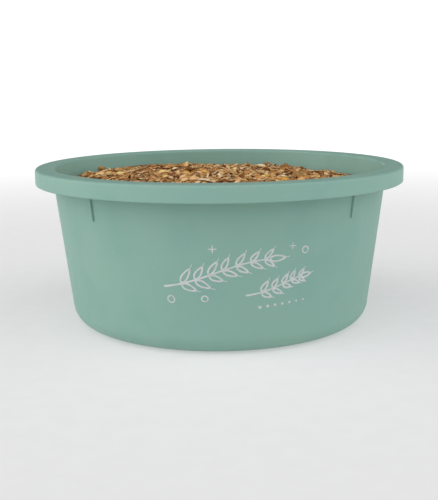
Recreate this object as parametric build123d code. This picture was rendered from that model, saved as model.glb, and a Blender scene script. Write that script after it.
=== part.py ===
from build123d import *
import math
import os

# Low, wide stable feed bucket, moulded in one piece, printed on its front and filled with loose
# mixed feed. Millimetres. The origin is the centre of the base, +Z is up and the print faces -Y.

# Tub: driving dimensions
RIM_RADIUS = 160.0
HEIGHT = 136.0
SKIRT_HEIGHT = 13.4
WALL_TOP_RADIUS = 144.5
WALL_BASE_RADIUS = 129.8
WALL = 2.8
FLOOR = 3.0
RIM_PLATE = 3.0
SKIRT_WALL = 2.4

# Tub: rounds and base
BASE_ROUND = 17.1
INNER_BASE_ROUND = 14.2
RIM_EDGE_ROUND = 2.2
LIP_ROUND = 2.0
CHANNEL_ROUND = 1.0
SKIRT_EDGE_ROUND = 0.6
FOOT_INNER_RADIUS = 100.0
PANEL_RISE = 2.0
GATE_RADIUS = 3.5
GATE_DEPTH = 0.8

# Gussets that tie the rim skirt to the wall
GUSSET_COUNT = 4
GUSSET_THICKNESS = 1.7
GUSSET_DROP = 21.5
GUSSET_PROUD = 1.7
GUSSET_RISE = 2.4
GUSSET_ROOT = 1.2

# Print on the wall
INK = 0.2
STROKE = 1.5
GRAIN_ANGLE = 40.0
GRAIN_GAP = 1.2
SPARKLE_WAIST = 0.24
MOTIF_OFFSET = -3.0
MOTIF_REACH = 14.0

# Feed
FEED_GAP = 0.4
FEED_EDGE_DEPTH = 18.0
FEED_CROWN_DEPTH = 8.0
FEED_BASE_ROUND = 15.0
FLAKE_COUNT = 228
FLAKE_FIELD_RADIUS = 131.0
FLAKE_SINK = 0.45
GOLDEN_ANGLE = 137.50776
FLAKE_TILT = 5.0

SKIRT_BOTTOM = HEIGHT - SKIRT_HEIGHT
PLATE_UNDERSIDE = HEIGHT - RIM_PLATE
WALL_SLOPE = (WALL_TOP_RADIUS - WALL_BASE_RADIUS) / SKIRT_BOTTOM
DRAFT = math.degrees(math.atan(WALL_SLOPE))
WALL_ACROSS = WALL / math.cos(math.radians(DRAFT))


def wall_outside(z):
    """Radius of the wall's outer face at height z."""
    return WALL_BASE_RADIUS + WALL_SLOPE * z


def wall_inside(z):
    """Radius of the wall's inner face at height z."""
    return wall_outside(z) - WALL_ACROSS


def turned(outline):
    """The solid of revolution of a closed outline drawn in radius and height."""
    return revolve(make_face(outline), Axis.Z)


def rounded_outline(corners):
    """A closed outline of (radius, height, round) corners in the XZ plane."""
    points = [(r, 0, z) for r, z, _ in corners]
    rounds = [fillet_radius for _, _, fillet_radius in corners]
    return FilletPolyline(*points, radius=rounds, close=True)


# Tub


def gusset():
    """One thin radial rib, down the wall from under the rim plate, and out to the skirt above it."""
    foot = SKIRT_BOTTOM - GUSSET_DROP
    plate = PLATE_UNDERSIDE + GUSSET_ROOT
    skirt = RIM_RADIUS - SKIRT_WALL
    corners = [
        (wall_outside(foot) - GUSSET_ROOT, foot),
        (wall_outside(foot) + GUSSET_PROUD, foot + GUSSET_PROUD),
        (wall_outside(SKIRT_BOTTOM) + GUSSET_PROUD, SKIRT_BOTTOM - SKIRT_EDGE_ROUND),
        (skirt + GUSSET_ROOT, SKIRT_BOTTOM + GUSSET_RISE),
        (skirt + GUSSET_ROOT, plate),
        (wall_outside(plate) - GUSSET_ROOT, plate),
    ]
    outline = Polyline(*[(r, 0, z) for r, z in corners], close=True)
    return extrude(make_face(outline), GUSSET_THICKNESS / 2, dir=(0, 1, 0), both=True)


def tub():
    panel = FOOT_INNER_RADIUS
    channel = RIM_RADIUS - SKIRT_WALL
    body = turned(
        rounded_outline(
            [
                (0, PANEL_RISE, 0),
                (panel, PANEL_RISE, 0.6),
                (panel + PANEL_RISE, 0, 0.6),
                (WALL_BASE_RADIUS, 0, BASE_ROUND),
                (wall_outside(PLATE_UNDERSIDE), PLATE_UNDERSIDE, CHANNEL_ROUND),
                (channel, PLATE_UNDERSIDE, CHANNEL_ROUND),
                (channel, SKIRT_BOTTOM, SKIRT_EDGE_ROUND),
                (RIM_RADIUS, SKIRT_BOTTOM, SKIRT_EDGE_ROUND),
                (RIM_RADIUS, HEIGHT, RIM_EDGE_ROUND),
                (wall_inside(HEIGHT), HEIGHT, LIP_ROUND),
                (wall_inside(FLOOR), FLOOR, INNER_BASE_ROUND),
                (panel - FLOOR / 2 + PANEL_RISE, FLOOR, 1.0),
                (panel - FLOOR / 2, FLOOR + PANEL_RISE, 1.0),
                (0, FLOOR + PANEL_RISE, 0),
            ]
        )
    )
    webs = [Rot(0, 0, 45 + 360 / GUSSET_COUNT * i) * gusset() for i in range(GUSSET_COUNT)]
    gate = Pos(0, 0, PANEL_RISE - GATE_DEPTH / 2) * Cylinder(GATE_RADIUS, GATE_DEPTH * 1.5)
    return body + webs + gate


# Print: two oat sprigs, rings, sparkles and a row of dots, in one thin layer of ink


def almond(length, width):
    """A pointed oval from the origin along +X."""
    upper = ThreePointArc((0, 0), (length / 2, width / 2), (length, 0))
    lower = ThreePointArc((length, 0), (length / 2, -width / 2), (0, 0))
    return make_face([upper, lower])


def grain(length, width):
    """An oat grain drawn as an outline, from its foot at the origin along +X."""
    inner = Pos(STROKE, 0) * almond(length - 2 * STROKE, width - 1.6 * STROKE)
    return almond(length, width) - inner


def sprig(stem_points, pairs, first, length, width):
    """A curved stem with pairs of grains from the fraction first to its tip, and one at the tip."""
    stem = Bezier(*stem_points)
    marks = [trace(stem, STROKE)]
    for i in range(pairs):
        along = first + (0.96 - first) * i / (pairs - 1)
        foot = stem @ along
        heading = math.degrees(math.atan2((stem % along).Y, (stem % along).X))
        size = 1 - 0.25 * i / (pairs - 1)
        for side in (-1, 1):
            turn = heading + side * GRAIN_ANGLE
            clear = Pos(STROKE / 2 + GRAIN_GAP, 0)
            marks.append(Pos(foot.X, foot.Y) * Rot(0, 0, turn) * clear * grain(length * size, width * size))
    tip = stem @ 1
    heading = math.degrees(math.atan2((stem % 1).Y, (stem % 1).X))
    marks.append(Pos(tip.X, tip.Y) * Rot(0, 0, heading) * Pos(GRAIN_GAP, 0) * grain(length, width))
    return marks


def sparkle(size):
    """A four-pointed star."""
    points = []
    for i in range(8):
        reach = size if i % 2 == 0 else size * SPARKLE_WAIST
        angle = math.radians(45 * i)
        points.append((reach * math.cos(angle), reach * math.sin(angle)))
    return make_face(Polyline(*points, close=True))


def ring(radius):
    return Circle(radius) - Circle(radius - STROKE * 0.7)


def ink_skin():
    """A layer as thick as the ink all round the part of the wall that is printed."""
    low = 0.2 * HEIGHT
    high = 0.8 * HEIGHT
    corners = [
        (wall_outside(low), 0, low),
        (wall_outside(low) + INK, 0, low),
        (wall_outside(high) + INK, 0, high),
        (wall_outside(high), 0, high),
    ]
    return turned(Polyline(*corners, close=True))


def on_wall(marks, along, height):
    """Ink of flat marks laid on the wall, centred the length along round the wall and at height."""
    radius = wall_outside(height)
    turn = (along + MOTIF_OFFSET) / radius
    centre = Vector(radius * math.sin(turn), -radius * math.cos(turn), height)
    across = Vector(math.cos(turn), math.sin(turn), 0)
    tilt = math.radians(DRAFT)
    outward = Vector(math.sin(turn) * math.cos(tilt), -math.cos(turn) * math.cos(tilt), -math.sin(tilt))
    plane = Plane(origin=centre, x_dir=across, z_dir=outward)
    skin = ink_skin()
    pieces = []
    for mark in marks:
        block = extrude(plane * mark, MOTIF_REACH, both=True)
        pieces.extend((block & skin).solids())
    return pieces


def long_sprig():
    stem = [(-44, -12), (-16, -9), (8, 8), (36, 9)]
    return on_wall(sprig(stem, pairs=7, first=0.16, length=13.5, width=5.8), along=0, height=68)


def short_sprig():
    stem = [(-26, -7), (-8, -6), (6, 3), (17, 5)]
    return on_wall(sprig(stem, pairs=5, first=0.22, length=10.0, width=4.8), along=45, height=56)


def sparkles():
    marks = []
    for along, height, radius in ((-38, 46, 3.2), (-12, 47, 2.8), (67, 82, 3.0)):
        marks += on_wall([ring(radius)], along, height)
    for along, height, size in ((-6, 86, 3.4), (56, 86, 3.0)):
        marks += on_wall([sparkle(size)], along, height)
    for i in range(7):
        marks += on_wall([Circle(1.4 - 0.1 * i)], along=30 + 6 * i, height=39 + 0.5 * i)
    return marks


# Feed

FEED_EDGE_Z = HEIGHT - FEED_EDGE_DEPTH
FEED_CROWN_Z = HEIGHT - FEED_CROWN_DEPTH
FEED_EDGE_RADIUS = wall_inside(FEED_EDGE_Z) - FEED_GAP
DOME_RADIUS = (FEED_EDGE_RADIUS**2 + (FEED_CROWN_Z - FEED_EDGE_Z) ** 2) / (2 * (FEED_CROWN_Z - FEED_EDGE_Z))


def dome_height(r):
    """Height of the heap's top at radius r."""
    return FEED_CROWN_Z - DOME_RADIUS + math.sqrt(DOME_RADIUS**2 - r**2)


def feed_bed():
    """The bulk of the feed, which fills the tub and heaps up in the middle."""
    bottom = FLOOR + PANEL_RISE + FEED_GAP
    side = FilletPolyline(
        (0, 0, bottom),
        (wall_inside(bottom) - FEED_GAP, 0, bottom),
        (FEED_EDGE_RADIUS, 0, FEED_EDGE_Z),
        radius=[FEED_BASE_ROUND],
    )
    top = TangentArc((0, 0, FEED_CROWN_Z), (FEED_EDGE_RADIUS, 0, FEED_EDGE_Z), tangent=(1, 0, 0))
    axis = Line((0, 0, FEED_CROWN_Z), (0, 0, bottom))
    return revolve(make_face([side, top, axis]), Axis.Z)


def oat_flake():
    """A rolled oat: an oval flake with a crease."""
    flake = extrude(Ellipse(4.6, 3.3), 0.9)
    return flake - Pos(0, 0, 1.1) * Rot(0, 90, 0) * Cylinder(0.45, 12)


def barley_flake():
    """A rolled barley grain: rounder and thicker, with a nicked end."""
    flake = extrude(Ellipse(4.3, 3.9), 1.2)
    return flake - Pos(4.6, 0.4, 0.6) * Cylinder(1.1, 3)


def maize_flake():
    """A cooked maize flake: a broken, angular plate."""
    corners = [(-4.6, -2.2), (-1.0, -4.1), (3.8, -3.0), (4.9, 0.9), (1.7, 3.9), (-3.1, 3.2)]
    return extrude(make_face(Polyline(*corners, close=True)), 1.1)


def pellet():
    """A pressed grass pellet lying on its side, half buried."""
    return Pos(0, 0, 0.25) * Rot(0, 90, 0) * Cylinder(2.4, 10)


def straw_piece():
    """A length of chopped straw, split open to a gutter."""
    outside = Pos(0, 0, 0.9) * Rot(0, 90, 0) * Cylinder(0.9, 12.5)
    return outside - Pos(0, 0, 1.25) * Rot(0, 90, 0) * Cylinder(0.6, 14)


def seed_husk():
    """An empty oat husk, pointed at both ends."""
    return Pos(-4.4, 0, 0) * extrude(almond(8.8, 2.8), 0.8)


FLAKES = {
    "feed_oat_flakes": oat_flake,
    "feed_barley_flakes": barley_flake,
    "feed_maize_flakes": maize_flake,
    "feed_pellets": pellet,
    "feed_straw_chop": straw_piece,
    "feed_seed_husks": seed_husk,
}
MIX = (
    "feed_oat_flakes",
    "feed_barley_flakes",
    "feed_straw_chop",
    "feed_oat_flakes",
    "feed_seed_husks",
    "feed_barley_flakes",
    "feed_maize_flakes",
    "feed_oat_flakes",
    "feed_seed_husks",
    "feed_straw_chop",
    "feed_barley_flakes",
    "feed_pellets",
)


def scattered(node):
    """The node's share of the loose pieces, laid over the heap on a golden-angle spiral."""
    pieces = []
    for i in range(FLAKE_COUNT):
        if MIX[i * 7 % len(MIX)] != node:
            continue
        radius = FLAKE_FIELD_RADIUS * math.sqrt((i + 0.5) / FLAKE_COUNT)
        around = GOLDEN_ANGLE * i
        slope = math.degrees(math.asin(radius / DOME_RADIUS))
        place = Rot(0, 0, around) * Pos(radius, 0, dome_height(radius) - FLAKE_SINK) * Rot(0, slope, 0)
        tilt = Rot(FLAKE_TILT * math.sin(2.1 * i), FLAKE_TILT * math.sin(3.7 * i + 1), 97 * i)
        pieces.append(place * tilt * FLAKES[node]())
    return pieces


def write(node, shape):
    export_step(shape, f"parts/{node}.step")


os.makedirs("parts", exist_ok=True)
write("tub", tub())
write("print_long_sprig", Compound(children=long_sprig()))
write("print_short_sprig", Compound(children=short_sprig()))
write("print_sparkles", Compound(children=sparkles()))
write("feed_bed", feed_bed())
for name in FLAKES:
    write(name, Compound(children=scattered(name)))
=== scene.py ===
import math

import bmesh
import bpy
import numpy as np
from mathutils import Matrix, Vector


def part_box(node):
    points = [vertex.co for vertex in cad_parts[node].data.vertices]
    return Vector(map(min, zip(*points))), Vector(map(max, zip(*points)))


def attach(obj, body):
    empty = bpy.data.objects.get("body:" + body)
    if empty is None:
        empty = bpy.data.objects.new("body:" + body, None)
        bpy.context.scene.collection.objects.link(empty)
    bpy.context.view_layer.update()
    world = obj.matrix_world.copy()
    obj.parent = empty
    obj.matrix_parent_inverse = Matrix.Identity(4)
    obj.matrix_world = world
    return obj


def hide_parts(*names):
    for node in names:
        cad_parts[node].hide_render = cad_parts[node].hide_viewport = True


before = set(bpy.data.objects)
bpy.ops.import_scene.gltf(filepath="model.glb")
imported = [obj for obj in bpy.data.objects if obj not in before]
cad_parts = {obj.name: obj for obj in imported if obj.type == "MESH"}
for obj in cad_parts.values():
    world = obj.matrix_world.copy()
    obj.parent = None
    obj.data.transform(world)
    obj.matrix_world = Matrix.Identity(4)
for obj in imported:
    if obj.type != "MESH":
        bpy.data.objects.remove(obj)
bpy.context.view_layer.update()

# Looks for the feed bucket, in metres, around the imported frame. The tub stands on z = 0 and its
# print faces -Y. Sizes come from the frame's boxes and from the tub's own wall dimensions below.

MM = 0.001

TUB_LOW, TUB_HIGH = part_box("tub")
BED_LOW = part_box("feed_bed")[0]
RIM = (TUB_HIGH.y - TUB_LOW.y) / 2
HEIGHT = TUB_HIGH.z

# Tub wall
SKIRT_BOTTOM = HEIGHT - 13.4 * MM
PLATE_UNDERSIDE = HEIGHT - 3.0 * MM
CHANNEL = RIM - 2.4 * MM
WALL_BASE = 129.8 * MM
WALL_SLOPE = (144.5 * MM - WALL_BASE) / SKIRT_BOTTOM
DRAFT = math.atan(WALL_SLOPE)
WALL_ACROSS = 2.8 * MM / math.cos(DRAFT)
FLOOR = 3.0 * MM
FOOT_INNER = 100.0 * MM
PANEL_RISE = 2.0 * MM

# Rounds of the tub's edges
BASE_ROUND = 17.1 * MM
INNER_BASE_ROUND = 14.2 * MM
FOOT_ROUND = 0.6 * MM
CHANNEL_ROUND = 1.0 * MM
SKIRT_INNER_ROUND = 0.6 * MM
SKIRT_ROUND = 0.8 * MM
RIM_ROUND = 2.2 * MM
LIP_ROUND = 2.0 * MM
PANEL_ROUND = 1.0 * MM

# Gate mark under the base, in millimetres: radius, height from the panel and round of each corner
GATE = (
    (0, 0.3, 0),
    (3.6, 0.3, 0.2),
    (3.2, -0.5, 0.2),
    (1.6, -0.5, 0.3),
    (1.1, -0.9, 0.3),
    (0, -0.9, 0),
)
GATE_AROUND = 48

# Tub mesh
AROUND = 240
ARC_STEP = math.radians(9)
STRAIGHT_STEP = 9.0 * MM
GUSSETS = 4
RIB_DROP = 21.5 * MM
RIB_PROUD = 1.7 * MM
RIB_HALF = 0.85 * MM

# Print
PEN = 1.48 * MM
PEN_STEP = 0.8 * MM
GRAIN_POINTS = 34
INK = 0.16 * MM
MOTIF_OFFSET = -3.0 * MM

# Feed heap
HEAP_EDGE = HEIGHT - 18.6 * MM
HEAP_CROWN = HEIGHT - 10.2 * MM
HEAP_FULLNESS = 3.0
HEAP_TILT_X = -2.8 * MM
HEAP_TILT_Y = 0.8 * MM
LOOSE_DEPTH = 5.0 * MM
BURIED = 0.4 * MM
HEAP_MARGIN = 5.0 * MM
FEED_TOP = HEIGHT - 1.6 * MM
CELL = 0.8 * MM
HEAP_LUMPS = 0.7 * MM
BED_WOBBLE = 0.35 * MM
BED_AROUND = 120
# Square millimetres of the bed's side and base for each piece laid on it
SIDE_COVER = 25.0
FEED_GAP = 0.45 * MM
SEED = 11


def wall_outside(z):
    """Radius of the wall's outer face at height z."""
    return WALL_BASE + WALL_SLOPE * z


def wall_inside(z):
    """Radius of the wall's inner face at height z."""
    return wall_outside(z) - WALL_ACROSS


# Mesh helpers


class Mesh:
    """Vertices and faces gathered from several shapes. Each tag holds a number or a vector for every
    vertex."""

    def __init__(self):
        self.points = []
        self.faces = []
        self.tags = {}
        self.count = 0

    def add(self, points, faces, **tags):
        points = np.asarray(points, float)
        self.points.append(points)
        self.faces.extend([tuple(int(i) + self.count for i in face) for face in faces])
        for name, values in tags.items():
            values = np.asarray(values, float)
            shape = (len(points),) if values.ndim < 2 else values.shape
            self.tags.setdefault(name, []).append(np.broadcast_to(values, shape))
        self.count += len(points)

    def piece(self, name, material):
        mesh = bpy.data.meshes.new(name)
        mesh.from_pydata(np.concatenate(self.points).tolist(), [], self.faces)
        mesh.polygons.foreach_set("use_smooth", [True] * len(mesh.polygons))
        for tag, values in self.tags.items():
            values = np.concatenate(values).astype(np.float32)
            if values.ndim == 2:
                layer = mesh.attributes.new(tag, "FLOAT_VECTOR", "POINT")
                layer.data.foreach_set("vector", values.ravel())
            else:
                layer = mesh.attributes.new(tag, "FLOAT", "POINT")
                layer.data.foreach_set("value", values)
        mesh.validate()
        mesh.update()
        mesh.materials.append(material)
        made = bpy.data.objects.new(name, mesh)
        bpy.context.scene.collection.objects.link(made)
        return made


def rounded(corners):
    """Points along an open outline of (radius, height, round) corners, with arcs at the rounds and
    extra points beside each arc so that smooth shading stays flat on the straight stretches."""
    line = [np.array(corners[0][:2], float)]
    for before, corner, after in zip(corners, corners[1:], corners[2:]):
        here = np.array(corner[:2], float)
        back = np.array(before[:2], float) - here
        on = np.array(after[:2], float) - here
        back /= np.linalg.norm(back)
        on /= np.linalg.norm(on)
        turn = math.pi - math.acos(np.clip(back @ on, -1, 1))
        reach = corner[2] * math.tan(turn / 2)
        steps = max(3, math.ceil(turn / ARC_STEP))
        middle = here + (back + on) / np.linalg.norm(back + on) * corner[2] / math.cos(turn / 2)
        start = here + back * reach - middle
        side = start[0] * (here - middle)[1] - start[1] * (here - middle)[0]
        for i in range(steps + 1):
            angle = math.copysign(turn * i / steps, side)
            spin = np.array([[math.cos(angle), -math.sin(angle)], [math.sin(angle), math.cos(angle)]])
            line.append(middle + spin @ start)
    line.append(np.array(corners[-1][:2], float))
    filled = [line[0]]
    for a, b in zip(line, line[1:]):
        length = np.linalg.norm(b - a)
        if length > 3 * MM:
            stops = np.linspace(0.5 * MM, length - 0.5 * MM, max(2, math.ceil(length / STRAIGHT_STEP)))
            filled.extend(a + (b - a) * stop / length for stop in stops)
        filled.append(b)
    return np.array(filled)


def turned(outline, around=AROUND):
    """Points and faces of an outline turned round Z. Ends on the axis close to one point."""
    angles = np.arange(around) * 2 * math.pi / around
    on_axis = outline[:, 0] < 1e-9
    points = []
    rings = []
    for (radius, z), point in zip(outline, on_axis):
        if point:
            rings.append([len(points)] * around)
            points.append((0, 0, z))
        else:
            rings.append(list(range(len(points), len(points) + around)))
            points.extend(zip(radius * np.cos(angles), radius * np.sin(angles), [z] * around))
    faces = []
    for low, high in zip(rings, rings[1:]):
        for i in range(around):
            j = (i + 1) % around
            corners = [low[i], low[j], high[j], high[i]]
            face = [c for k, c in enumerate(corners) if c != corners[k - 1]]
            if len(face) > 2:
                faces.append(face)
    return points, faces


# Materials


def new_material(name):
    """A material with its Principled shader, and a function that adds linked nodes to it."""
    material = bpy.data.materials.new(name)
    material.use_nodes = True
    tree = material.node_tree
    shader = tree.nodes["Principled BSDF"]

    def add(kind, inputs=None, **settings):
        made = tree.nodes.new(kind)
        for key, value in settings.items():
            setattr(made, key, value)
        for key, value in (inputs or {}).items():
            put(made.inputs[key], value)
        return made

    def put(socket, value):
        if isinstance(value, bpy.types.NodeSocket):
            tree.links.new(value, socket)
        else:
            socket.default_value = value

    return material, shader, add, put


def linear(red, green, blue):
    """A linear colour from 0 to 255 display values."""
    def one(value):
        value /= 255
        return value / 12.92 if value <= 0.04045 else ((value + 0.055) / 1.055) ** 2.4

    return (one(red), one(green), one(blue), 1.0)


def ramp(add, factor, stops):
    """A colour ramp through (position, colour) stops."""
    made = add("ShaderNodeValToRGB", {"Fac": factor})
    elements = made.color_ramp.elements
    while len(elements) < len(stops):
        elements.new(0.5)
    for element, (position, colour) in zip(elements, stops):
        element.position = position
        element.color = colour
    return made.outputs["Color"]


# Sockets of a Mix node that mixes colours
MIX_FACTOR, MIX_FIRST, MIX_SECOND, MIX_RESULT = 0, 6, 7, 2


def blend_colours(add, factor, first, second):
    """The first colour where the factor is 0, and the second where it is 1."""
    mixed = add("ShaderNodeMix", data_type="RGBA")
    tree = mixed.id_data
    for number, value in ((MIX_FACTOR, factor), (MIX_FIRST, first), (MIX_SECOND, second)):
        socket = mixed.inputs[number]
        if isinstance(value, bpy.types.NodeSocket):
            tree.links.new(value, socket)
        else:
            socket.default_value = value
    return mixed.outputs[MIX_RESULT]


def calc(add, operation, first, second):
    """The result of one Math node."""
    made = add("ShaderNodeMath", {0: first, 1: second}, operation=operation)
    return made.outputs[0]


def noise(add, place, scale, detail=2.0, roughness=0.5, distortion=0.0):
    values = {"Scale": scale, "Detail": detail, "Roughness": roughness, "Distortion": distortion}
    made = add("ShaderNodeTexNoise", {"Vector": place, **values})
    return made.outputs["Fac"]


def band(add, value, low, high, out_low=0.0, out_high=1.0):
    """Value mapped smoothly from low..high to out_low..out_high, and held there outside."""
    made = add(
        "ShaderNodeMapRange",
        {"Value": value, "From Min": low, "From Max": high, "To Min": out_low, "To Max": out_high},
        interpolation_type="SMOOTHSTEP",
    )
    return made.outputs["Result"]


TUB_COLOUR = linear(133, 170, 158)
TUB_SPECULAR = 0.18
FEED_SPECULAR = 0.3


def tub_plastic():
    """Sage green polypropylene: a fine moulded grain, a little sink and swell in the wall, faint
    cloudiness in the colour, and rubbed, paler plastic on the rim's edge and round the foot."""
    material, shader, add, put = new_material("sage_plastic")
    place = add("ShaderNodeTexCoord").outputs["Object"]
    parts = add("ShaderNodeSeparateXYZ", {"Vector": place})
    height = parts.outputs["Z"]
    cloud = noise(add, place, 22.0, detail=3.0)
    colour = ramp(
        add,
        cloud,
        [(0.3, linear(127, 166, 154)), (0.5, TUB_COLOUR), (0.7, linear(134, 171, 157))],
    )
    fleck = noise(add, place, 900.0, detail=2.0)
    colour = blend_colours(add, band(add, fleck, 0.62, 0.78, 0.0, 0.12), colour, linear(160, 190, 178))
    scuff_noise = noise(add, place, 130.0, detail=6.0, roughness=0.7, distortion=0.6)
    scuffed = band(add, scuff_noise, 0.52, 0.72)
    foot = band(add, height, 12 * MM, 0.0)
    top = band(add, height, HEIGHT - 3.5 * MM, HEIGHT - 0.2 * MM)
    worn = calc(add, "MULTIPLY", scuffed, calc(add, "MAXIMUM", foot, calc(add, "MULTIPLY", top, 0.45)))
    colour = blend_colours(add, calc(add, "MULTIPLY", worn, 0.5), colour, linear(165, 190, 180))
    put(shader.inputs["Base Color"], colour)
    streaks = add("ShaderNodeMapping", {"Vector": place, "Scale": (240.0, 240.0, 36.0)})
    streak = noise(add, streaks.outputs["Vector"], 1.0, detail=4.0)
    rough = band(add, streak, 0.3, 0.7, 0.46, 0.54)
    rough = calc(add, "ADD", rough, calc(add, "MULTIPLY", worn, 0.2))
    put(shader.inputs["Roughness"], rough)
    shader.inputs["Specular IOR Level"].default_value = TUB_SPECULAR
    grain = noise(add, place, 1700.0, detail=2.0, roughness=0.6)
    fine = add("ShaderNodeBump", {"Height": grain, "Strength": 0.16, "Distance": 0.06 * MM})
    swell = noise(add, place, 26.0, detail=1.0)
    wave = add(
        "ShaderNodeBump",
        {"Height": swell, "Strength": 0.5, "Distance": 0.8 * MM, "Normal": fine.outputs["Normal"]},
    )
    put(shader.inputs["Normal"], wave.outputs["Normal"])
    return material


def print_ink():
    """Matt screen ink: light grey, with pinholes and a slightly uneven coat."""
    material, shader, add, put = new_material("screen_ink")
    place = add("ShaderNodeTexCoord").outputs["Object"]
    coat = noise(add, place, 260.0, detail=4.0, roughness=0.7)
    colour = ramp(
        add,
        coat,
        [(0.32, linear(180, 191, 188)), (0.5, linear(196, 201, 200)), (0.75, linear(206, 209, 210))],
    )
    pinholes = band(add, noise(add, place, 1500.0, detail=2.0), 0.66, 0.74, 0.0, 0.55)
    put(shader.inputs["Base Color"], blend_colours(add, pinholes, colour, TUB_COLOUR))
    put(shader.inputs["Roughness"], band(add, coat, 0.3, 0.7, 0.5, 0.64))
    bump = add("ShaderNodeBump", {"Height": coat, "Strength": 0.25, "Distance": 0.05 * MM})
    put(shader.inputs["Normal"], bump.outputs["Normal"])
    return material


def feed_material(name, shades, speck, roughness, fibres=0.7, fibre_width=0.45):
    """Dry plant matter. shades are display colours from the darkest piece to the palest, and each
    piece takes its own from its tag. Fibres run along the piece, by its own coordinates, with dusty
    patches, bran specks and a darker, broken edge on top."""
    material, shader, add, put = new_material(name)
    place = add("ShaderNodeTexCoord").outputs["Object"]
    tint = add("ShaderNodeAttribute", attribute_name="tint").outputs["Fac"]
    edge = add("ShaderNodeAttribute", attribute_name="edge").outputs["Fac"]
    own = add("ShaderNodeAttribute", attribute_name="own_place").outputs["Vector"]
    across = 1 / (fibre_width * MM)
    drawn = add("ShaderNodeMapping", {"Vector": own, "Scale": (across * 0.16, across, across)})
    fibre = noise(add, drawn.outputs["Vector"], 1.0, detail=3.0, roughness=0.6, distortion=0.4)
    mottle = noise(add, place, 620.0, detail=4.0, roughness=0.65)
    shade = tint
    for source, strength in ((mottle, 0.8), (fibre, fibres * 1.6)):
        change = calc(add, "MULTIPLY", calc(add, "SUBTRACT", source, 0.5), strength)
        shade = calc(add, "ADD", shade, change)
    last = len(shades) - 1
    stops = [(0.05 + 0.9 * i / last, linear(*one)) for i, one in enumerate(shades)]
    colour = ramp(add, shade, stops)
    specks = band(add, noise(add, place, 1700.0, detail=2.0), 0.62, 0.74, 0.0, 0.6)
    colour = blend_colours(add, specks, colour, linear(*speck))
    rim = calc(add, "MULTIPLY", edge, band(add, mottle, 0.35, 0.65, 0.0, 0.5))
    colour = blend_colours(add, rim, colour, linear(*speck))
    put(shader.inputs["Base Color"], colour)
    put(shader.inputs["Roughness"], band(add, mottle, 0.3, 0.7, roughness - 0.12, roughness + 0.06))
    shader.inputs["Specular IOR Level"].default_value = FEED_SPECULAR
    rough_skin = add("ShaderNodeBump", {"Height": mottle, "Strength": 0.5, "Distance": 0.25 * MM})
    ridges = add("ShaderNodeBump", {"Height": fibre, "Strength": fibres, "Distance": 0.22 * MM})
    put(ridges.inputs["Normal"], rough_skin.outputs["Normal"])
    put(shader.inputs["Normal"], ridges.outputs["Normal"])
    return material


def floor_material():
    """Plain pale studio floor with a barely visible tooth. It brightens away from the object, and
    meets the horizon without a line."""
    material, shader, add, put = new_material("studio_floor")
    place = add("ShaderNodeTexCoord").outputs["Object"]
    tooth = noise(add, place, 60.0, detail=2.0)
    greys = [(0.3, linear(186, 186, 186)), (0.7, linear(189, 189, 189))]
    put(shader.inputs["Base Color"], ramp(add, tooth, greys))
    shader.inputs["Roughness"].default_value = 0.9
    shader.inputs["Specular IOR Level"].default_value = 0.0
    shader.inputs["Emission Color"].default_value = (1, 1, 1, 1)
    away = add("ShaderNodeVectorMath", {0: place}, operation="LENGTH").outputs["Value"]
    glow = band(add, away, *FLOOR_FADE, out_low=FLOOR_GLOW, out_high=FAR_GLOW)
    put(shader.inputs["Emission Strength"], glow)
    return material


# Tub


def gusset():
    """A thin rib under the rim, from the rim plate down the wall and out to the skirt."""
    foot = SKIRT_BOTTOM - RIB_DROP
    root = 1.2 * MM
    corners = [
        (wall_outside(foot) - root, foot),
        (wall_outside(foot) + RIB_PROUD, foot + 1.2 * MM),
        (wall_outside(SKIRT_BOTTOM) + RIB_PROUD, SKIRT_BOTTOM - 0.6 * MM),
        (CHANNEL + root, SKIRT_BOTTOM + 2.4 * MM),
        (CHANNEL + root, PLATE_UNDERSIDE + root),
        (wall_outside(PLATE_UNDERSIDE) - root, PLATE_UNDERSIDE + root),
    ]
    shape = bmesh.new()
    sides = []
    for y in (-RIB_HALF, RIB_HALF):
        sides.append([shape.verts.new((r, y, z)) for r, z in corners])
    shape.faces.new(reversed(sides[0]))
    shape.faces.new(sides[1])
    for i in range(len(corners)):
        j = (i + 1) % len(corners)
        shape.faces.new((sides[0][i], sides[0][j], sides[1][j], sides[1][i]))
    bmesh.ops.recalc_face_normals(shape, faces=shape.faces)
    bmesh.ops.bevel(shape, geom=shape.edges, offset=0.45 * MM, segments=3, affect="EDGES", profile=0.5)
    shape.verts.index_update()
    points = np.array([v.co for v in shape.verts])
    faces = [[v.index for v in face.verts] for face in shape.faces]
    shape.free()
    return points, faces


def spun(points, angle):
    cos, sin = math.cos(angle), math.sin(angle)
    x, y, z = np.asarray(points).T
    return np.stack([x * cos - y * sin, x * sin + y * cos, z], 1)


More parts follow.
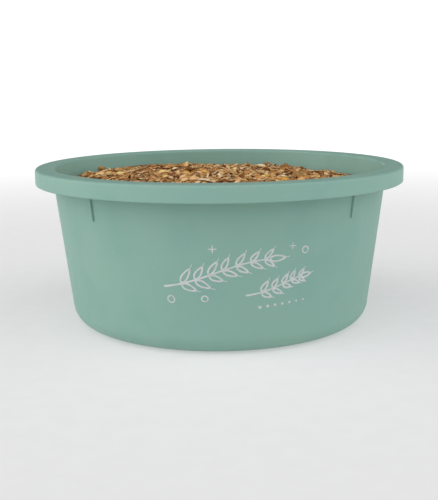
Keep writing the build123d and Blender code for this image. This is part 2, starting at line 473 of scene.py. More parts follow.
def make_tub():
    step = FOOT_INNER - FLOOR / 2
    outline = rounded(
        [
            (0, PANEL_RISE, 0),
            (FOOT_INNER, PANEL_RISE, FOOT_ROUND),
            (FOOT_INNER + PANEL_RISE, 0, FOOT_ROUND),
            (WALL_BASE, 0, BASE_ROUND),
            (wall_outside(PLATE_UNDERSIDE), PLATE_UNDERSIDE, CHANNEL_ROUND),
            (CHANNEL, PLATE_UNDERSIDE, CHANNEL_ROUND),
            (CHANNEL, SKIRT_BOTTOM, SKIRT_INNER_ROUND),
            (RIM, SKIRT_BOTTOM, SKIRT_ROUND),
            (RIM, HEIGHT, RIM_ROUND),
            (wall_inside(HEIGHT), HEIGHT, LIP_ROUND),
            (wall_inside(FLOOR), FLOOR, INNER_BASE_ROUND),
            (step + PANEL_RISE, FLOOR, PANEL_ROUND),
            (step, FLOOR + PANEL_RISE, PANEL_ROUND),
            (0, FLOOR + PANEL_RISE, 0),
        ]
    )
    shell = Mesh()
    shell.add(*turned(outline))
    points, faces = gusset()
    for i in range(GUSSETS):
        shell.add(spun(points, math.radians(45 + 360 / GUSSETS * i)), faces)
    gate = rounded([(radius * MM, PANEL_RISE + z * MM, edge * MM) for radius, z, edge in GATE])
    shell.add(*turned(gate, GATE_AROUND))
    tub = shell.piece("tub_moulding", tub_plastic())
    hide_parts("tub")
    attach(tub, "tub")


# Print


def bezier(points, t):
    """Points at the fractions t of a curve with four control points."""
    a, b, c, d = (np.array(p, float) for p in points)
    t = np.asarray(t, float)[:, None]
    return (1 - t) ** 3 * a + 3 * (1 - t) ** 2 * t * b + 3 * (1 - t) * t**2 * c + t**3 * d


def on_wall(flat, along, height, lift):
    """Flat motif points, in metres from its centre, wrapped onto the wall and lifted off it."""
    flat = np.asarray(flat, float)
    centre_radius = wall_outside(height)
    angle = (along + MOTIF_OFFSET + flat[:, 0]) / centre_radius
    z = height + flat[:, 1] * math.cos(DRAFT)
    radius = wall_outside(z) + lift
    return np.stack([radius * np.sin(angle), -radius * np.cos(angle), z], 1)


def ribbon(sheet, line, widths, along, height, closed=False):
    """A pen stroke along line, a thin raised band with a slightly crowned top."""
    line = np.asarray(line, float)
    ahead = np.roll(line, -1, 0) if closed else np.concatenate([line[1:], line[-1:]])
    behind = np.roll(line, 1, 0) if closed else np.concatenate([line[:1], line[:-1]])
    heading = ahead - behind
    heading /= np.linalg.norm(heading, axis=1)[:, None]
    widths = np.broadcast_to(widths, len(line))[:, None]
    across = np.stack([-heading[:, 1], heading[:, 0]], 1) * widths / 2
    section = ((1.0, -0.3), (0.97, 0.7), (0.0, 1.0), (-0.97, 0.7), (-1.0, -0.3))
    rows = [on_wall(line + across * side, along, height, INK * lift) for side, lift in section]
    points = np.stack(rows, 1).reshape(-1, 3)
    size = len(section)
    count = len(line)
    faces = []
    for i in range(count if closed else count - 1):
        j = (i + 1) % count
        for k in range(size):
            m = (k + 1) % size
            faces.append((i * size + k, j * size + k, j * size + m, i * size + m))
    if not closed:
        faces.append(tuple(range(size)))
        faces.append(tuple((count - 1) * size + k for k in reversed(range(size))))
    sheet.add(points, faces)


def pen(sheet, line, width, along, height, start=1.0, end=1.0):
    """An open stroke with round ends. start and end scale its width along the way."""
    line = np.asarray(line, float)
    reach = np.concatenate([[0], np.cumsum(np.linalg.norm(np.diff(line, axis=0), axis=1))])
    total = reach[-1]
    ends = width / 2 * (1 - np.cos(np.linspace(0.15, math.pi / 2, 6)))
    middle = np.linspace(width / 2, total - width / 2, max(4, int(total / PEN_STEP)))
    stops = np.concatenate([ends, middle, total - ends[::-1]])
    stops = np.unique(np.clip(stops, 0, total))
    points = np.stack([np.interp(stops, reach, line[:, 0]), np.interp(stops, reach, line[:, 1])], 1)
    near = np.minimum(stops, total - stops) + 0.02 * width
    cap = np.sqrt(np.clip(1 - (1 - np.clip(near / (width / 2), 0, 1)) ** 2, 0.02, 1))
    pressure = start + (end - start) * stops / total + 0.07 * np.sin(stops / (2.3 * MM))
    ribbon(sheet, points, width * cap * pressure, along, height)


def grain_loop(length, width):
    """A pointed oval from the origin along +X, as a closed line, with its belly near the foot."""
    t = np.linspace(0, 2 * math.pi, GRAIN_POINTS, endpoint=False)
    x = length * (1 - np.cos(t)) / 2
    belly = np.sin(t) * (1 + 0.35 * np.cos(t))
    return np.stack([x, width / 2 * belly * np.abs(np.sin(t)) ** 0.25], 1)


def turned_flat(flat, angle, x, y):
    """Flat points turned about the origin and then moved by x and y."""
    cos, sin = math.cos(angle), math.sin(angle)
    along, aside = flat[:, 0], flat[:, 1]
    return np.stack([along * cos - aside * sin + x, along * sin + aside * cos + y], 1)


def draw_grain(sheet, foot, angle, length, width, along, height):
    """One oat grain: its outline and the awn at its tip."""
    gap = PEN * 0.5
    inset = PEN / 2
    loop = grain_loop(length - PEN, width - PEN) + (gap + inset, 0)
    ribbon(sheet, turned_flat(loop, angle, *foot), PEN, along, height, closed=True)
    awn_start = gap + length - PEN * 0.4
    bend = (awn_start + length * 0.16, length * 0.015)
    end = (awn_start + length * 0.3, length * 0.05)
    awn = np.array([(awn_start, 0), bend, end])
    pen(sheet, turned_flat(awn, angle, *foot), PEN * 0.5, along, height, end=0.6)


def draw_sprig(sheet, stem, pairs, first, length, width, along, height):
    """A curved stem with pairs of oat grains from the fraction first to its tip, and one at the tip."""
    stem = np.array(stem) * MM
    pen(sheet, bezier(stem, np.linspace(0, 1, 60)), PEN, along, height, start=1.15, end=0.8)
    for i in range(pairs):
        t = first + (0.96 - first) * i / (pairs - 1)
        foot, beyond = bezier(stem, [t, t + 0.01])
        heading = math.atan2(*(beyond - foot)[::-1])
        size = 1 - 0.25 * i / (pairs - 1)
        for side in (-1, 1):
            lean = math.radians(40 + 4 * math.sin(2.2 * i + side))
            spread = size * (1 + 0.05 * math.sin(3.1 * i + side))
            draw_grain(sheet, foot, heading + side * lean, length * spread, width * size, along, height)
    before, tip = bezier(stem, [0.99, 1.0])
    draw_grain(sheet, tip, math.atan2(*(tip - before)[::-1]), length, width, along, height)


def patch(sheet, outline, along, height):
    """A filled mark: a fan from its centre, with a thin edge down to the wall."""
    count = len(outline)
    top = on_wall(outline, along, height, INK * 0.8)
    foot = on_wall(outline, along, height, -INK * 0.3)
    centre = on_wall(np.zeros((2, 2)), along, height, INK)
    centre[1] = on_wall(np.zeros((1, 2)), along, height, -INK * 0.3)[0]
    faces = []
    for i in range(count):
        j = (i + 1) % count
        faces.append((i, j, 2 * count))
        faces.append((count + i, count + j, j, i))
        faces.append((count + j, count + i, 2 * count + 1))
    sheet.add(np.concatenate([top, foot, centre]), faces)


def draw_star(sheet, size, along, height):
    """A four-pointed star with hollow sides."""
    angle = np.linspace(0, 2 * math.pi, 48, endpoint=False)
    reach = size * (0.2 + 0.8 * np.abs(np.cos(2 * angle)) ** 5)
    patch(sheet, np.stack([reach * np.cos(angle), reach * np.sin(angle)], 1), along, height)


def draw_ring(sheet, radius, along, height):
    angle = np.linspace(0, 2 * math.pi, 40, endpoint=False)
    wobble = radius * (1 + 0.04 * np.sin(2 * angle + along * 900))
    line = np.stack([wobble * np.cos(angle), wobble * np.sin(angle)], 1)
    ribbon(sheet, line, PEN * (0.72 + 0.1 * np.sin(angle)), along, height, closed=True)


def draw_dot(sheet, radius, along, height):
    angle = np.linspace(0, 2 * math.pi, 24, endpoint=False)
    patch(sheet, np.stack([radius * np.cos(angle), radius * np.sin(angle)], 1), along, height)


def make_print():
    ink = print_ink()
    long_sprig = Mesh()
    draw_sprig(
        long_sprig,
        [(-44, -12), (-16, -9), (8, 8), (36, 9)],
        pairs=7,
        first=0.16,
        length=13.5 * MM,
        width=5.8 * MM,
        along=0.0,
        height=68 * MM,
    )
    short_sprig = Mesh()
    draw_sprig(
        short_sprig,
        [(-26, -7), (-8, -6), (6, 3), (17, 5)],
        pairs=5,
        first=0.22,
        length=10.0 * MM,
        width=4.8 * MM,
        along=45 * MM,
        height=56 * MM,
    )
    marks = Mesh()
    for along, height, radius in ((-38, 46, 3.2), (-12, 47, 2.8), (67, 82, 3.0)):
        draw_ring(marks, (radius - 0.5) * MM, along * MM, height * MM)
    for along, height, size in ((-6, 86, 3.4), (56, 86, 3.0)):
        draw_star(marks, size * MM, along * MM, height * MM)
    for i in range(7):
        draw_dot(marks, (1.4 - 0.1 * i) * MM, (30 + 6 * i) * MM, (39 + 0.5 * i) * MM)
    sheets = {
        "print_long_sprig": long_sprig,
        "print_short_sprig": short_sprig,
        "print_sparkles": marks,
    }
    for node, sheet in sheets.items():
        piece = sheet.piece(node.replace("print_", "ink_"), ink)
        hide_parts(node)
        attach(piece, "tub")


# Feed: the shapes of its pieces


def flake_shape(rng, size, fine, points, ragged, crease=0.0, curl=0.0, angular=0.0):
    """One pressed flake, flat side down, as points, faces and how near each point is to the edge.
    It has an uneven outline, a crowned top, a crease along it, and a curl across it. One that isn't
    fine has fewer rings, for pieces that only ever show from a distance."""
    length, width, thickness = size
    angle = np.arange(points) * 2 * math.pi / points
    outline = 1 + ragged * rng.normal(size=points)
    twice = 0.5 * ragged * np.sin(2 * angle + rng.uniform(0, 6))
    thrice = 0.6 * ragged * np.sin(3 * angle + rng.uniform(0, 6))
    outline += twice + thrice
    if angular:
        corners = np.round(angle / (2 * math.pi) * 5 + rng.uniform(0, 1)) * 2 * math.pi / 5
        outline *= 1 - angular * (1 - np.cos(2.5 * (angle - corners)))
    rings = FINE_RINGS if fine else COARSE_RINGS
    flat = []
    heights = []
    edge = []
    for share, lift in rings:
        x = np.cos(angle) * outline * share * length / 2
        y = np.sin(angle) * outline * share * width / 2
        dip = crease * thickness * np.exp(-((y / (0.16 * width)) ** 2)) if lift > 0.5 else 0
        flat.append(np.stack([x, y], 1))
        heights.append(lift * thickness - dip + rng.normal(size=points) * thickness * 0.06)
        edge.append(np.full(points, share**3))
    flat.append(np.zeros((1, 2)))
    heights.append(np.array([thickness * (1.02 - crease)]))
    edge.append(np.zeros(1))
    flat = np.concatenate(flat)
    z = np.concatenate(heights)
    z = z + curl * (flat[:, 1] / width) ** 2 * width - 0.5 * curl * (flat[:, 0] / length) ** 2 * length
    faces = [tuple(reversed(range(points)))]
    for i in range(len(rings) - 1):
        faces += bridge(i * points, (i + 1) * points, points)
    crown = len(rings) * points
    last = crown - points
    faces += [(last + i, last + (i + 1) % points, crown) for i in range(points)]
    return np.column_stack([flat, z]), faces, np.concatenate(edge)


def bridge(first, second, count):
    """Quads between two rings of count points."""
    quads = []
    for i in range(count):
        j = (i + 1) % count
        quads.append((first + i, first + j, second + j, second + i))
    return quads


def stalk_shape(rng, length, width, bend):
    """A piece of chopped straw: a flattened gutter with split, ragged ends."""
    sections = 6
    side = np.array(STALK_SECTION)
    points = []
    edge = []
    for i in range(sections):
        t = i / (sections - 1) * 2 - 1
        taper = 1 - 0.25 * abs(t) ** 6
        ragged = rng.normal(size=len(side)) * 0.09 * length * (abs(t) > 0.99)
        y = side[:, 0] * width / 2 * taper + bend * length * t * t
        z = side[:, 1] * width * 0.45 * taper + 0.06 * length * (1 - t * t) * rng.uniform(-0.2, 1)
        points.append(np.stack([t * length / 2 + ragged, y, z], 1))
        edge.append(np.full(len(side), float(abs(t) > 0.99)))
    size = len(side)
    faces = []
    for i in range(sections - 1):
        faces += [tuple(reversed(face)) for face in bridge(i * size, (i + 1) * size, size)]
    faces.append(tuple(range(size)))
    faces.append(tuple((sections - 1) * size + k for k in reversed(range(size))))
    return np.concatenate(points), faces, np.concatenate(edge)


def pellet_shape(rng, length, width):
    """A pressed pellet lying on its side, with broken ends and a scored skin."""
    around = 12
    stops = (0.0, 0.04, 0.3, 0.65, 0.96, 1.0)
    angle = np.arange(around) * 2 * math.pi / around
    points = []
    edge = []
    for i, stop in enumerate(stops):
        end = i in (0, len(stops) - 1)
        radius = width / 2 * (0.86 if end else 1.0) * (1 + 0.03 * rng.normal(size=around))
        x = (stop - 0.5) * length + (rng.normal(size=around) * 0.05 * width if end else 0)
        y = radius * np.cos(angle)
        z = radius * np.sin(angle) + width / 2
        points.append(np.stack([x + 0 * angle, y, z], 1))
        edge.append(np.full(around, 0.7 if end else 0.15))
    faces = []
    for i in range(len(stops) - 1):
        faces += [tuple(reversed(face)) for face in bridge(i * around, (i + 1) * around, around)]
    faces.append(tuple(range(around)))
    faces.append(tuple((len(stops) - 1) * around + k for k in reversed(range(around))))
    return np.concatenate(points), faces, np.concatenate(edge)


def crumb_shape(rng, size):
    """A broken crumb: a lumpy eight-cornered grain."""
    corners = np.array([(x, y, z) for x in (-1, 1) for y in (-1, 1) for z in (0, 1)], float)
    corners *= (size / 2, size * 0.36, size * 0.42)
    corners += rng.normal(size=(8, 3)) * size * 0.1
    faces = [(0, 1, 3, 2), (4, 6, 7, 5), (0, 4, 5, 1), (2, 3, 7, 6), (0, 2, 6, 4), (1, 5, 7, 3)]
    return corners, faces, np.full(8, 0.3)


VARIANTS = 12
FEED_MIX = {
    "barley": 0.23,
    "oat": 0.22,
    "maize": 0.042,
    "husk": 0.2,
    "chaff": 0.18,
    "straw": 0.04,
    "pellet": 0.008,
    "crumb": 0.072,
}
# Larger pieces that lie on top: kind, x and y in millimetres, turn in degrees, scale and shade
ON_TOP = (
    ("straw", -77, 76, 19, 1.2, 0.12),
    ("husk", -47, 39, -14, 1.7, 0.1),
    ("oat", -13, -57, 5, 1.5, 0.95),
    ("barley", 16, -46, -8, 1.7, 0.7),
    ("oat", 44, 86, 0, 1.2, 1.0),
)
# How pieces fall on the heap: mean size and its spread, limits of size, slopes and shares
TOP_SCALE = (0.8, 0.26)
TOP_SCALE_LIMITS = (0.36, 1.6)
SIDE_SCALE = (0.9, 0.16)
SIDE_SCALE_LIMITS = (0.5, 1.25)
LEAN = 0.1
TIPPED_LEAN = 0.34
LYING_SHARE = 0.85
FLIPPED_SHARE = 0.4
MISS_LIMIT = 900
# Cross section of a straw, as shares of half its width and of its height
STALK_SECTION = (
    (-1.0, 0.3),
    (-0.55, 1.0),
    (0.1, 0.75),
    (0.65, 0.95),
    (1.0, 0.25),
    (0.55, 0.0),
    (-0.5, 0.0),
)
# Rings of a flake from its underside up: share of its size, and share of its thickness
FINE_RINGS = ((0.84, 0.0), (1.0, 0.45), (0.7, 1.0))
COARSE_RINGS = ((1.0, 0.2), (0.82, 0.95))


def feed_kinds(rng, fine):
    """Every kind of loose piece: its share of the mix, its half sizes and thickness in millimetres,
    and its shapes."""
    def flakes(length, width, thickness, **form):
        size = (length * MM, width * MM, thickness * MM)
        return {
            "half": (0.48 * length, 0.48 * width),
            "thick": thickness * 0.95,
            "shapes": [flake_shape(rng, size, fine=fine, **form) for _ in range(VARIANTS)],
        }

    def others(length, width, thick, make):
        return {
            "half": (length / 2, width / 2),
            "thick": thick,
            "shapes": [make() for _ in range(VARIANTS)],
        }

    def stalk():
        return stalk_shape(rng, 15 * MM, 1.7 * MM, rng.uniform(-0.06, 0.06))

    around = 12 if fine else 10
    kinds = {
        "barley": flakes(8.6, 6.0, 1.0, points=around, crease=0.4, curl=0.14, ragged=0.12),
        "oat": flakes(8.2, 4.4, 0.85, points=around, crease=0.5, curl=0.18, ragged=0.1),
        "maize": flakes(8.6, 6.8, 1.0, points=around, ragged=0.16, curl=0.3, angular=0.16),
        "husk": flakes(9.6, 2.7, 0.6, points=10, ragged=0.07, crease=0.6, curl=0.5),
        "chaff": flakes(5.6, 1.5, 0.4, points=8, ragged=0.12, crease=0.3, curl=0.6),
        "straw": others(15.0, 1.7, 0.8, stalk),
        "pellet": others(10.6, 5.4, 5.0, lambda: pellet_shape(rng, 11 * MM, 5.2 * MM)),
        "crumb": others(2.6, 1.8, 0.9, lambda: crumb_shape(rng, 2.6 * MM)),
    }
    for name, share in FEED_MIX.items():
        kinds[name]["share"] = share
    return kinds


# Feed: laying the pieces down


def dome_height(out):
    """Height of the heap's even dome, out being the distance from its axis over its radius."""
    return HEAP_EDGE + (HEAP_CROWN - HEAP_EDGE) * (1 - out**HEAP_FULLNESS)


def heap_height(x, y):
    """Height that the loose pieces reach at a point of the heap."""
    edge_radius = wall_inside(HEAP_EDGE)
    out = np.sqrt(x * x + y * y) / edge_radius
    broad = np.sin(x / 0.017 + 1.3) * np.sin(y / 0.023)
    small = np.sin(x / 0.009 + y / 0.013 + 0.4)
    lumps = HEAP_LUMPS * (broad + 0.7 * small)
    tilt = HEAP_TILT_X * x / edge_radius + HEAP_TILT_Y * y / edge_radius
    return dome_height(out) + tilt + lumps


class Heap:
    """Height of the pile on a grid. Pieces are laid one by one on what is already there."""

    def __init__(self):
        self.reach = wall_inside(HEAP_EDGE)
        self.count = int(2 * self.reach / CELL) + 3
        self.axis = (np.arange(self.count) - (self.count - 1) / 2) * CELL
        x, y = np.meshgrid(self.axis, self.axis)
        self.out = np.sqrt(x * x + y * y)
        self.x, self.y = x, y
        self.target = heap_height(x, y)
        self.surface = self.target - LOOSE_DEPTH
        self.laid = []

    def lay(self, x, y, yaw, half, thick, lean, on_top=False):
        """Rests a flat oval on the pile. Returns its origin and axes, or None where it doesn't fit,
        or where the pile is already high enough, unless the piece is one to lie on top."""
        reach = int(max(half) / CELL) + 2
        column = int(round(x / CELL + (self.count - 1) / 2))
        row = int(round(y / CELL + (self.count - 1) / 2))
        window = (
            slice(max(row - reach, 0), row + reach + 1),
            slice(max(column - reach, 0), column + reach + 1),
        )
        along = (self.x[window] - x) * math.cos(yaw) + (self.y[window] - y) * math.sin(yaw)
        across = -(self.x[window] - x) * math.sin(yaw) + (self.y[window] - y) * math.cos(yaw)
        under = (along / half[0]) ** 2 + (across / half[1]) ** 2 < 1
        if under.sum() < 4:
            return None
        heights = self.surface[window][under]
        if not on_top and heights.mean() > self.target[window][under].mean() - thick * 0.4:
            return None
        fit = np.column_stack([np.ones(len(heights)), along[under], across[under]])
        slope = np.linalg.lstsq(fit, heights, rcond=None)[0][1:]
        slope = np.clip(slope * 0.8, -0.5, 0.5) + lean
        tilted = slope[0] * along[under] + slope[1] * across[under]
        base = np.percentile(heights - tilted, 82)
        if (self.out[window][under] > wall_inside(base) - FEED_GAP - 0.3 * MM).any():
            return None
        top = base + tilted + thick
        if top.max() > FEED_TOP:
            return None
        self.surface[window][under] = np.maximum(heights, top)
        self.laid.append((math.hypot(x, y), window, under, top))
        u = Vector((math.cos(yaw), math.sin(yaw), slope[0])).normalized()
        v = Vector((-math.sin(yaw), math.cos(yaw), slope[1])).normalized()
        normal = u.cross(v).normalized()
        v = normal.cross(u)
        return np.array([x, y, base]), np.array([u, v, normal])

    def shows(self, number):
        """Whether a laid piece ended up in sight: on the surface, just under it, or at the side."""
        out, window, under, top = self.laid[number]
        return out > self.reach - HEAP_MARGIN or (self.surface[window][under] - top).min() < BURIED


def put_piece(meshes, rng, kind, name, place, scale, flip=False, tint=None):
    """Adds one shape of the kind at a place: its origin and its three axes. tint is its shade."""
    origin, axes = place
    body, faces, edge = kind["shapes"][rng.integers(VARIANTS)]
    shape = body * scale
    if flip:
        shape = shape * (1, -1, -1) + (0, 0, kind["thick"] * MM * scale)
    points = origin + shape @ axes
    if tint is None:
        tint = np.clip(rng.beta(1.25, 1.3), 0.02, 0.98)
    own_place = body + rng.uniform(0, 1, 3)
    meshes[name].add(points, faces, tint=tint, edge=edge, own_place=own_place)


def pick(rng, kinds):
    names = list(kinds)
    shares = np.array([kinds[name]["share"] for name in names])
    return names[rng.choice(len(names), p=shares / shares.sum())]


def pile_top(rng, kinds, meshes):
    """Drops pieces over the heap until it reaches its height, then a few that lie proud of it. Those
    that end up out of sight are left out."""
    heap = Heap()
    dropped = []
    misses = 0
    while misses < MISS_LIMIT:
        name = pick(rng, kinds)
        kind = kinds[name]
        out = heap.reach * math.sqrt(rng.uniform(0, 1))
        around = rng.uniform(0, 2 * math.pi)
        scale = np.clip(rng.normal(*TOP_SCALE), *TOP_SCALE_LIMITS)
        half = np.array(kind["half"]) * MM * scale
        lean = rng.normal(size=2) * (LEAN if rng.uniform() < LYING_SHARE else TIPPED_LEAN)
        lean[0] *= min(1.0, 4 * MM / half[0])
        place = heap.lay(
            out * math.cos(around),
            out * math.sin(around),
            rng.uniform(0, 2 * math.pi),
            half,
            kind["thick"] * MM * scale,
            lean,
        )
        if place is None:
            misses += 1
            continue
        misses = max(0, misses - 6)
        flip = rng.uniform() < FLIPPED_SHARE and name != "pellet"
        dropped.append((kind, name, place, scale, flip, None))
    for name, x, y, turn, scale, shade in ON_TOP:
        kind = kinds[name]
        half = np.array(kind["half"]) * MM * scale
        thick = kind["thick"] * MM * scale
        place = heap.lay(x * MM, y * MM, math.radians(turn), half, thick, 0.0, on_top=True)
        if place is not None:
            dropped.append((kind, name, place, scale, False, shade))
    for number, piece in enumerate(dropped):
        if heap.shows(number):
            put_piece(meshes, rng, *piece)


def bed_outline():
    """The bed's outline from under its centre round to the top of its side."""
    bottom = BED_LOW.z + 1.2 * MM
    inset = FEED_GAP + 1.6 * MM
    return [
        (0, bottom, 0),
        (wall_inside(bottom) - inset, bottom, 14.0 * MM),
        (wall_inside(HEAP_EDGE) - inset, HEAP_EDGE - 2.5 * MM, 2.0 * MM),
    ]


def make_bed(material):
    """The bulk under the loose pieces: its side and base follow the tub, its top is lumpy."""
    side = bed_outline()
    top = []
    edge_radius = side[-1][0]
    for share in np.linspace(0.95, 0.0, 20):
        z = dome_height(share) - LOOSE_DEPTH - 0.5 * MM
        top.append((edge_radius * share, z, 0.5 * MM))
    outline = rounded(side + top)
    points, faces = turned(outline, BED_AROUND)
    points = np.array(points)
    x, y, z = points.T
    wobble = BED_WOBBLE * np.sin(x * 900) * np.sin(y * 800 + 1) * np.sin(z * 700 + 2)
    radius = np.maximum(np.linalg.norm(points[:, :2], axis=1), 1e-6)
    points[:, :2] *= (1 - np.abs(wobble) / np.maximum(radius, 0.02))[:, None]
    bulk = Mesh()
    bulk.add(points, faces, tint=0.24, edge=0.45, own_place=points)
    return bulk.piece("feed_bulk", material)


def cover_sides(rng, kinds, meshes):
    """Lays pieces flat against the side and under the base, as they lie against the tub's wall."""
    outline = rounded(bed_outline())
    lengths = np.linalg.norm(np.diff(outline, axis=0), axis=1)
    middles = (outline[1:, 0] + outline[:-1, 0]) / 2
    area = np.concatenate([[0], np.cumsum(lengths * middles)])
    count = int(area[-1] * 2 * math.pi / (SIDE_COVER * MM * MM))
    golden = math.pi * (3 - math.sqrt(5))
    for i in range(count):
        name = pick(rng, kinds)
        if name == "pellet":
            continue
        kind = kinds[name]
        spot = area[-1] * (i + rng.uniform()) / count
        step = min(np.searchsorted(area, spot) - 1, len(lengths) - 1)
        share = (spot - area[step]) / (area[step + 1] - area[step])
        radius, z = outline[step] + (outline[step + 1] - outline[step]) * share
        run = (outline[step + 1] - outline[step]) / lengths[step]
        angle = golden * i + rng.normal() * 0.05
        radial = np.array([math.cos(angle), math.sin(angle), 0])
        normal = radial * run[1] + np.array([0, 0, -run[0]])
        first = np.array([-math.sin(angle), math.cos(angle), 0])
        second = np.cross(normal, first)
        yaw = rng.uniform(0, 2 * math.pi)
        u = first * math.cos(yaw) + second * math.sin(yaw)
        u = u + normal * rng.normal() * 0.02
        u /= np.linalg.norm(u)
        v = np.cross(normal, u)
        v /= np.linalg.norm(v)
        scale = np.clip(rng.normal(*SIDE_SCALE), *SIDE_SCALE_LIMITS)
        origin = radial * radius + np.array([0, 0, z]) + normal * rng.uniform(-0.5, 0.25) * MM
        put_piece(meshes, rng, kind, name, (origin, np.array([u, v, np.cross(u, v)])), scale)


FEED_LOOKS = {
    "barley": ("barley", ["feed_barley_flakes"]),
    "oat": ("oat", ["feed_oat_flakes"]),
    "maize": ("maize", ["feed_maize_flakes"]),
    "husk": ("husk", ["feed_seed_husks"]),
    "chaff": ("husk", []),
    "straw": ("straw", ["feed_straw_chop"]),
    "pellet": ("grass_pellet", ["feed_pellets"]),
    "crumb": ("mixed_feed", []),
}


def feed_materials():
    return {
        "barley": feed_material(
            "rolled_barley",
            [(118, 70, 28), (190, 132, 70), (226, 172, 106), (250, 212, 154)],
            (96, 56, 20),
            0.62,
        ),
        "oat": feed_material(
            "rolled_oat",
            [(150, 98, 46), (214, 162, 98), (242, 202, 144), (253, 234, 198)],
            (132, 84, 38),
            0.62,
        ),
        "maize": feed_material(
            "maize_flake",
            [(196, 134, 44), (230, 176, 76), (244, 204, 112), (250, 228, 162)],
            (168, 110, 38),
            0.5,
            fibres=0.25,
            fibre_width=0.9,
        ),
        "husk": feed_material(
            "seed_husk",
            [(70, 36, 12), (142, 88, 44), (196, 138, 92), (236, 192, 140)],
            (56, 30, 10),
            0.58,
            fibres=0.9,
        ),
        "chaff": feed_material(
            "chaff",
            [(170, 118, 62), (226, 180, 118), (248, 218, 168), (255, 240, 210)],
            (150, 100, 52),
            0.6,
            fibres=0.9,
        ),
        "straw": feed_material(
            "chopped_straw",
            [(112, 82, 46), (184, 144, 86), (218, 182, 122), (240, 214, 162)],
            (96, 66, 32),
            0.45,
            fibres=0.9,
            fibre_width=0.3,
        ),
        "pellet": feed_material(
            "grass_pellet",
            [(146, 108, 60), (176, 136, 82), (202, 162, 104), (222, 186, 130)],
            (108, 78, 40),
            0.85,
            fibres=0.5,
        ),
        "crumb": feed_material(
            "feed_crumbs",
            [(104, 64, 26), (174, 122, 66), (220, 172, 110), (242, 208, 154)],
            (84, 50, 20),
            0.72,
        ),
    }


def make_feed():
    rng = np.random.default_rng(SEED)
    kinds = feed_kinds(rng, fine=True)
    looks = feed_materials()
    top = {name: Mesh() for name in kinds}
    pile_top(rng, kinds, top)
    side = {name: Mesh() for name in kinds}
    cover_sides(rng, feed_kinds(rng, fine=False), side)
    bulk = make_bed(looks["crumb"])
    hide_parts("feed_bed")
    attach(bulk, "feed")
    for name, (slot, nodes) in FEED_LOOKS.items():
        for part, meshes in (("top", top), ("side", side)):
            if not meshes[name].count:
                continue
            piece = meshes[name].piece(f"{name}_{part}", looks[name])
            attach(piece, "feed")
            if part == "top" and nodes:
                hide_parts(*nodes)


# Studio

# The floor's own light close to the tub and far off, and the distances between which it changes
FLOOR_GLOW = 0.38
FAR_GLOW = 0.7
FLOOR_FADE = (0.4, 1.8)
FLOOR_HALF = 30.0
FLOOR_CLEAR = 0.05 * MM
HORIZON_GLOW = 0.9
HORIZON_TOP = (0.085, 0.15)
BOX_SPREAD = 6.0
# Each soft box's direction round the tub and up from the floor, in degrees, its strength and its
# colour. 0 degrees round is in front of the print and 90 is to its right.
SOFT_BOXES = (
    (-80, 15, 3.1, (1.03, 1.0, 0.97)),
    (80, 15, 2.2, (0.97, 1.0, 0.99)),
    (0, 57, 1.7, (1.0, 1.0, 1.05)),
    (180, 15, 0.2, (1.0, 1.0, 1.0)),
)


def make_floor():
    mesh = bpy.data.meshes.new("studio_floor")
    half = FLOOR_HALF
    low = -FLOOR_CLEAR
    corners = [(-half, -half, low), (half, -half, low), (half, half, low), (-half, half, low)]
    mesh.from_pydata(corners, [], [(0, 1, 2, 3)])
    mesh.materials.append(floor_material())
    floor = bpy.data.objects.new("studio_floor", mesh)
    bpy.context.scene.collection.objects.link(floor)


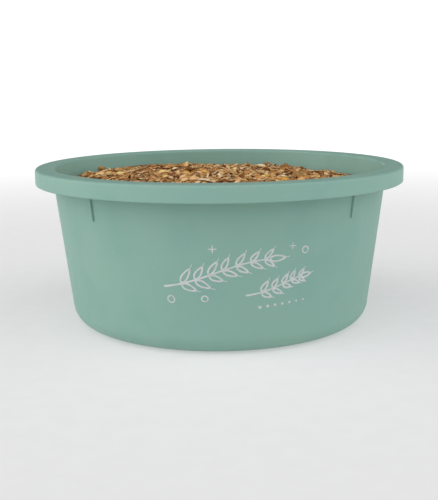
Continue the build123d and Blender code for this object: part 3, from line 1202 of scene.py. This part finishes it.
def make_world():
    """Surroundings with a pale band at the horizon and broad soft boxes that fade into each other."""
    world = bpy.data.worlds.new("studio")
    world.use_nodes = True
    tree = world.node_tree

    def add(kind, inputs, **settings):
        made = tree.nodes.new(kind)
        for key, value in settings.items():
            setattr(made, key, value)
        for key, value in inputs.items():
            if isinstance(value, bpy.types.NodeSocket):
                tree.links.new(value, made.inputs[key])
            else:
                made.inputs[key].default_value = value
        return made

    heading = add("ShaderNodeTexCoord", {}).outputs["Generated"]
    up = add("ShaderNodeSeparateXYZ", {"Vector": heading}).outputs["Z"]
    horizon = band(add, up, *HORIZON_TOP, out_low=HORIZON_GLOW, out_high=0.0)
    light = add("ShaderNodeBackground", {"Color": (1, 1, 1, 1), "Strength": horizon}).outputs[0]
    for around, rise, strength, colour in SOFT_BOXES:
        around, rise = math.radians(around), math.radians(rise)
        centre = (math.sin(around) * math.cos(rise), -math.cos(around) * math.cos(rise), math.sin(rise))
        facing = add("ShaderNodeVectorMath", {0: heading, 1: centre}, operation="DOT_PRODUCT")
        glow = calc(add, "POWER", calc(add, "MAXIMUM", facing.outputs["Value"], 0.0), BOX_SPREAD)
        box = {"Color": (*colour, 1), "Strength": calc(add, "MULTIPLY", glow, strength)}
        shine = add("ShaderNodeBackground", box).outputs[0]
        light = add("ShaderNodeAddShader", {0: light, 1: shine}).outputs[0]
    tree.links.new(light, tree.nodes["World Output"].inputs["Surface"])
    bpy.context.scene.world = world


# The camera looks down a little on the tub from a short way to the left of straight ahead.
CAMERA_DISTANCE = 4.954 * RIM
CAMERA_RISE = math.radians(11.17)
CAMERA_AROUND = math.radians(-1.25)
CAMERA_ROLL = math.radians(0.625)
CAMERA_TARGET_Z = 0.3615 * RIM
CAMERA_ASIDE = -0.94 * MM
LENS = 63.25
SENSOR_WIDTH = 36.0
CLIP_START = 0.02


def make_camera():
    lens = bpy.data.cameras.new("camera")
    lens.lens = LENS
    lens.sensor_width = SENSOR_WIDTH
    lens.clip_start = CLIP_START
    camera = bpy.data.objects.new("camera", lens)
    bpy.context.scene.collection.objects.link(camera)
    flat = CAMERA_DISTANCE * math.cos(CAMERA_RISE)
    right = Vector((math.cos(CAMERA_AROUND), math.sin(CAMERA_AROUND), 0))
    away = Vector((math.sin(CAMERA_AROUND), -math.cos(CAMERA_AROUND), 0))
    target = Vector((0, 0, CAMERA_TARGET_Z)) + right * CAMERA_ASIDE
    place = target + away * flat + Vector((0, 0, CAMERA_DISTANCE * math.sin(CAMERA_RISE)))
    facing = (target - place).to_track_quat("-Z", "Y").to_matrix().to_4x4()
    camera.matrix_world = Matrix.Translation(place) @ facing @ Matrix.Rotation(-CAMERA_ROLL, 4, "Z")
    bpy.context.scene.camera = camera
    bpy.context.scene.view_settings.view_transform = "Standard"


make_tub()
make_print()
make_feed()
make_floor()
make_world()
make_camera()
